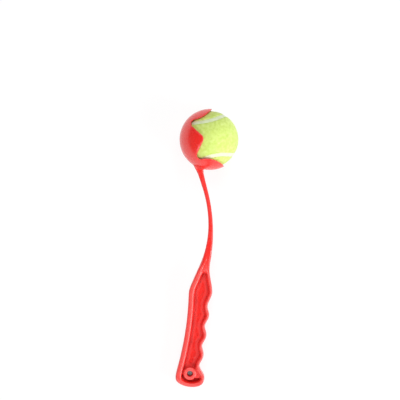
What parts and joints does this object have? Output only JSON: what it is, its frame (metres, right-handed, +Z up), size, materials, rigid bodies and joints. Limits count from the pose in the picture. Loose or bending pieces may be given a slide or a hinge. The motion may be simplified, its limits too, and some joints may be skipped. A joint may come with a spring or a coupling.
{
  "type": "dog ball launcher stick",
  "caption": "Moulded plastic throwing stick with a finger-grooved handle, a bowed springy shaft and a clawed cup that holds a tennis ball; the ball slides out of the cup's mouth.",
  "frame": {"origin": "middle of the hang hole, halfway through the handle", "axes": "the stick lies on its side as the picture shows it from above: +X to the finger grooves, +Y along the handle to the cup, +Z up; it is tipped 4.67 degrees about X, so that the butt and the cup both touch the ground"},
  "size_m": [0.0702, 0.3089, 0.0663],
  "materials": {
    "stick_plastic": "bright red moulded polypropylene, glossy, with a faint moulded grain",
    "core_rubber": "dark grey moulded rubber",
    "ball_felt": "optic yellow napped felt",
    "seam_rubber": "off-white cured rubber"
  },
  "bodies": {
    "stick": {"launcher_stick": "stick_plastic"},
    "ball": {"ball_core_half_1": "core_rubber", "ball_core_half_2": "core_rubber", "felt_panel_1": "ball_felt", "felt_panel_2": "ball_felt", "ball_seam": "seam_rubber"}
  },
  "joints": [
    {"name": "ball_release", "type": "slide", "parent": "stick", "child": "ball", "axis": [0.9842, 0.1765, 0.0144], "range_m": [0, 0.08]}
  ]
}
